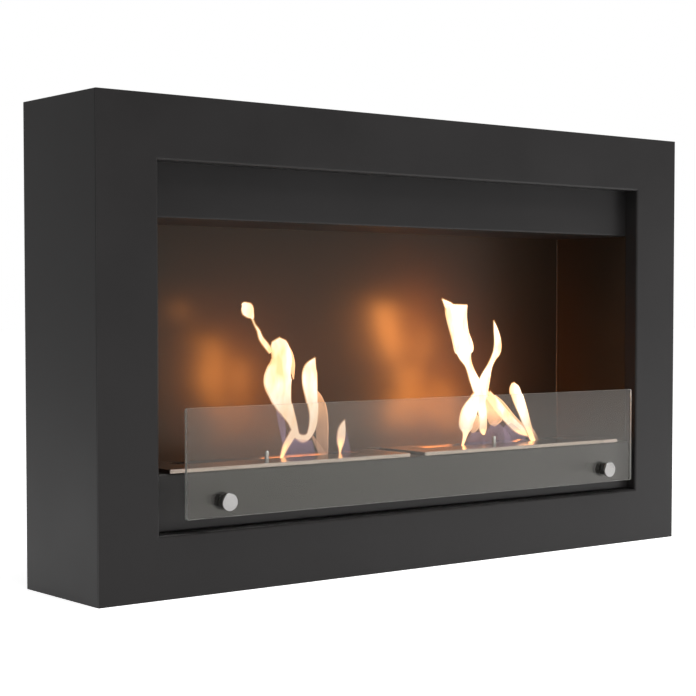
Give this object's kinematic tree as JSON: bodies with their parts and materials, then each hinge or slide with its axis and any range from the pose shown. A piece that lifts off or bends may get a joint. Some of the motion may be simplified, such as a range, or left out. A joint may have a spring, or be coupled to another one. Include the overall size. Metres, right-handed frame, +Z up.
{
  "type": "bioethanol fireplace",
  "caption": "Wall-hung black steel bioethanol fireplace: a wide shallow box with an open firebox, drop-in steel burners and a low glass pane on stand-offs.",
  "frame": {"origin": "centre of the casing's underside", "axes": "+X along the width to the right as seen from the front, -Y out of the front, +Y to the wall, +Z up"},
  "size_m": [0.9, 0.184, 0.54],
  "materials": {
    "black_powder_coat": "fine satin powder coat",
    "black_gloss_enamel": "semi-gloss heat-resistant enamel",
    "zinc_plated_steel": "zinc plated",
    "brushed_stainless": "brushed along its length",
    "satin_stainless": "turned and satin polished",
    "clear_glass": "clear toughened glass, polished edges",
    "black_rubber": "matt",
    "ceramic_wool": "white ceramic fibre"
  },
  "bodies": {
    "casing": {"front_frame": "black_powder_coat", "rear_casing": "black_powder_coat", "hood": "black_powder_coat", "burner_shelf": "black_powder_coat", "left_liner": "black_gloss_enamel", "right_liner": "black_gloss_enamel", "back_liner": "black_gloss_enamel", "left_shelf_bracket": "zinc_plated_steel", "right_shelf_bracket": "zinc_plated_steel", "hood_nut_left": "zinc_plated_steel", "hood_nut_right": "zinc_plated_steel", "left_liner_nut_front": "zinc_plated_steel", "left_liner_nut_rear": "zinc_plated_steel", "right_liner_nut_front": "zinc_plated_steel", "right_liner_nut_rear": "zinc_plated_steel", "glass_pane": "clear_glass", "left_glass_cap": "satin_stainless", "left_front_gasket": "black_rubber", "left_rear_gasket": "black_rubber", "left_glass_barrel": "satin_stainless", "left_glass_stud": "zinc_plated_steel", "left_glass_nut": "zinc_plated_steel", "right_glass_cap": "satin_stainless", "right_front_gasket": "black_rubber", "right_rear_gasket": "black_rubber", "right_glass_barrel": "satin_stainless", "right_glass_stud": "zinc_plated_steel", "right_glass_nut": "zinc_plated_steel"},
    "left_burner_insert": {"left_burner": "brushed_stainless", "left_wool_pad": "ceramic_wool"},
    "left_shutter_slide": {"left_shutter": "brushed_stainless", "left_shutter_knob": "satin_stainless"},
    "right_burner_insert": {"right_burner": "brushed_stainless", "right_wool_pad": "ceramic_wool"},
    "right_shutter_slide": {"right_shutter": "brushed_stainless", "right_shutter_knob": "satin_stainless"}
  },
  "joints": [
    {"name": "left_burner_lift", "type": "slide", "parent": "casing", "child": "left_burner_insert", "axis": [0, 0, 1], "range_m": [0, 0.06]},
    {"name": "left_shutter_travel", "type": "slide", "parent": "left_burner_insert", "child": "left_shutter_slide", "axis": [0, 1, 0], "range_m": [0, 0.033]},
    {"name": "right_burner_lift", "type": "slide", "parent": "casing", "child": "right_burner_insert", "axis": [0, 0, 1], "range_m": [0, 0.06]},
    {"name": "right_shutter_travel", "type": "slide", "parent": "right_burner_insert", "child": "right_shutter_slide", "axis": [0, 1, 0], "range_m": [0, 0.033]}
  ]
}
